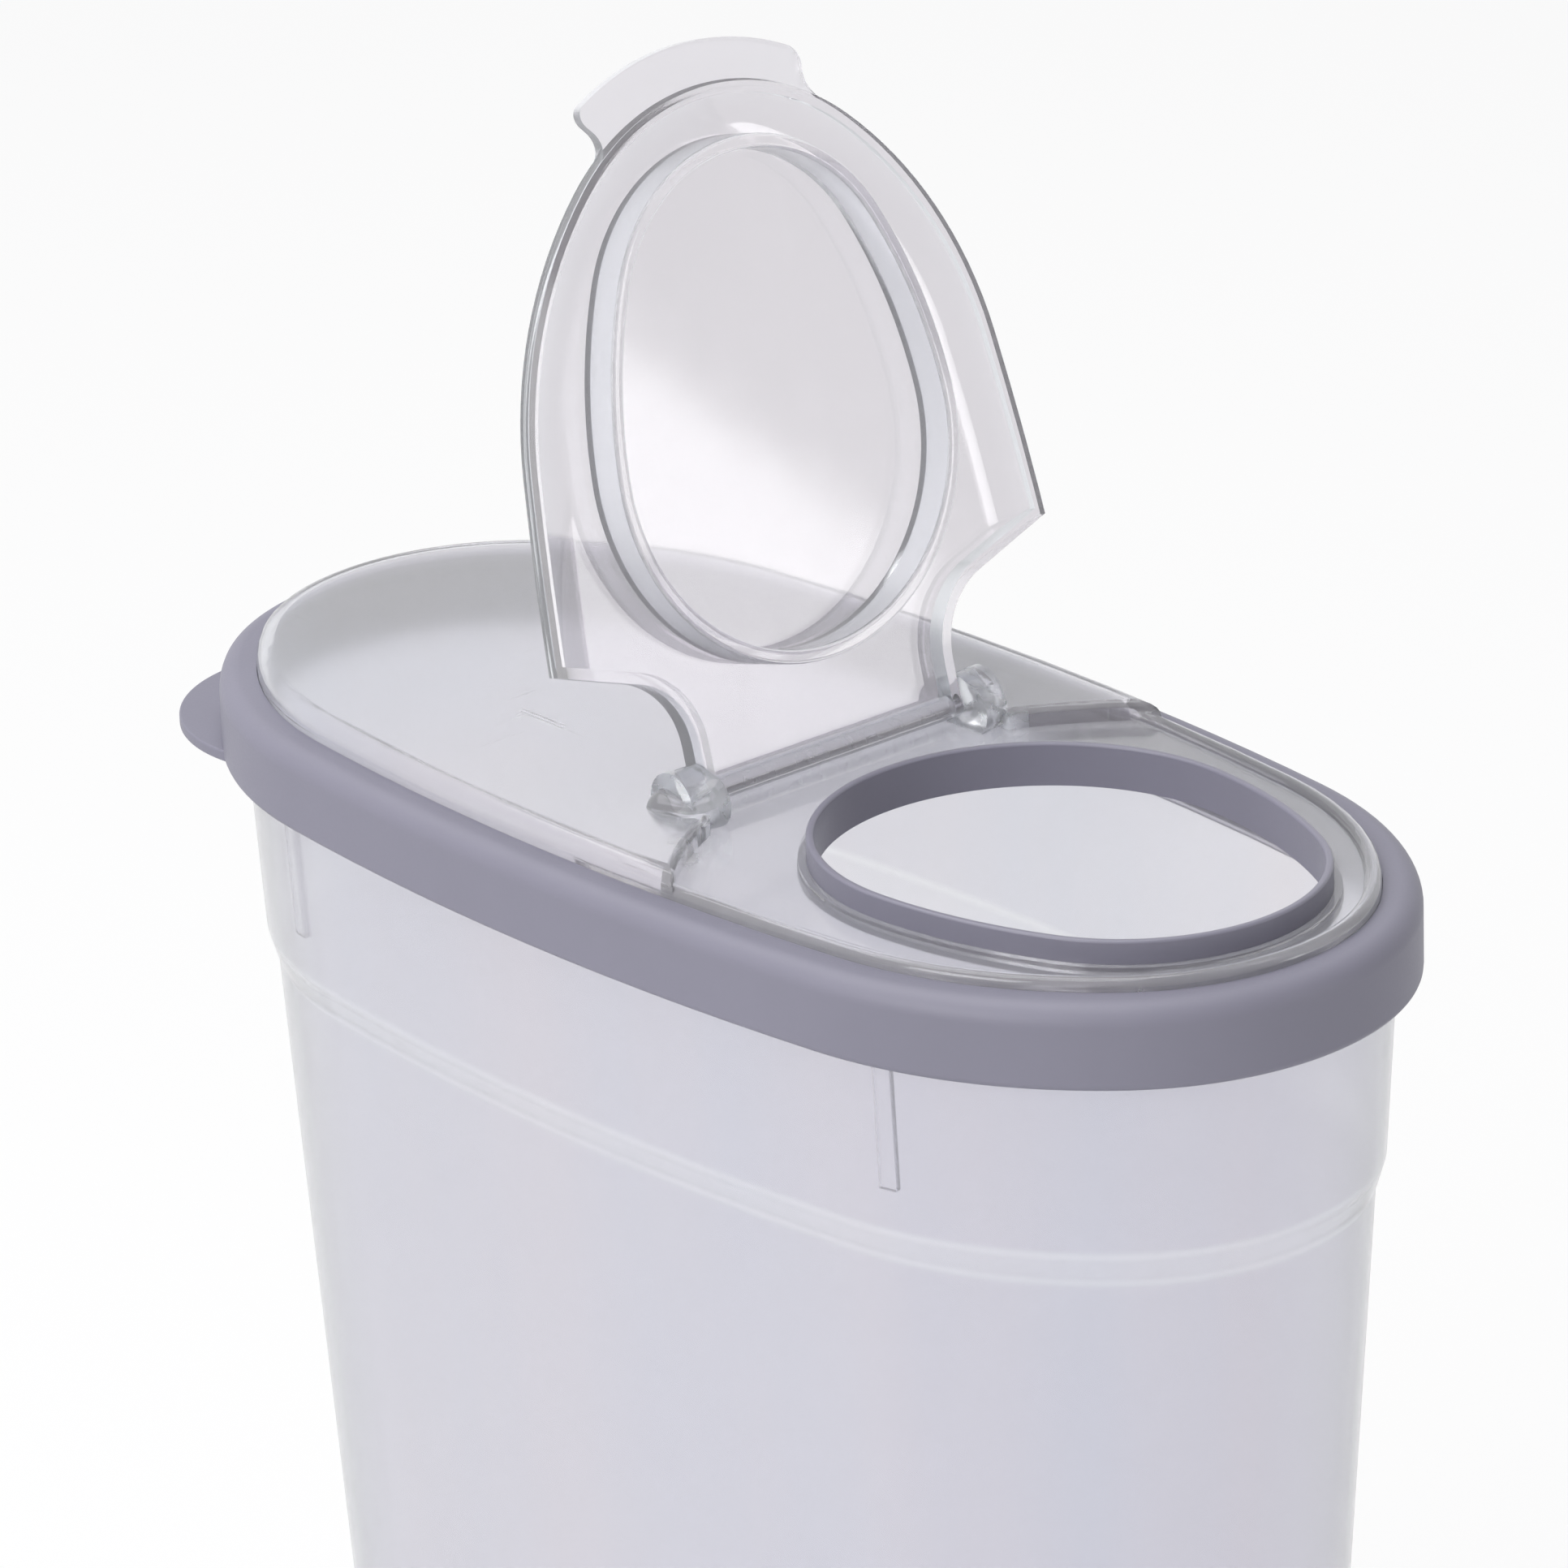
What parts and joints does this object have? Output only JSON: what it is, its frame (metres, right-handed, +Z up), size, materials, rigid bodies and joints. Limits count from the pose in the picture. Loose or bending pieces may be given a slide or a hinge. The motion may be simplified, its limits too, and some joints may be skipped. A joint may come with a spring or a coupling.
{
  "type": "cereal container",
  "caption": "Slim oval dry-food keeper: drafted translucent tub, press-on lid with grey rim and pull tab, egg-shaped pouring collar and a hinged flip cap with thumb tab",
  "frame": {"origin": "centre of the tub's flat base", "axes": "+X towards the pouring end, +Y across the narrow side, +Z up"},
  "size_m": [0.2029, 0.098, 0.3109],
  "materials": {
    "tub_plastic": "translucent satin polypropylene",
    "lid_plastic": "translucent glossy polypropylene",
    "grey_rim": "fine matt grain",
    "grey_collar": "smooth satin",
    "cap_plastic": "translucent glossy polypropylene"
  },
  "bodies": {
    "tub": {"tub": "tub_plastic"},
    "lid": {"lid_panel": "lid_plastic", "lid_rim": "grey_rim", "spout_collar": "grey_collar"},
    "cap": {"flip_cap": "cap_plastic"}
  },
  "joints": [
    {"name": "lid_lift", "type": "slide", "parent": "tub", "child": "lid", "axis": [0, 0, 1], "range_m": [0, 0.04]},
    {"name": "cap_hinge", "type": "hinge", "parent": "lid", "child": "cap", "pos_m": [0.0054, 0, 0.21925], "axis": [0, 1, 0], "range_deg": [0, 105]}
  ]
}
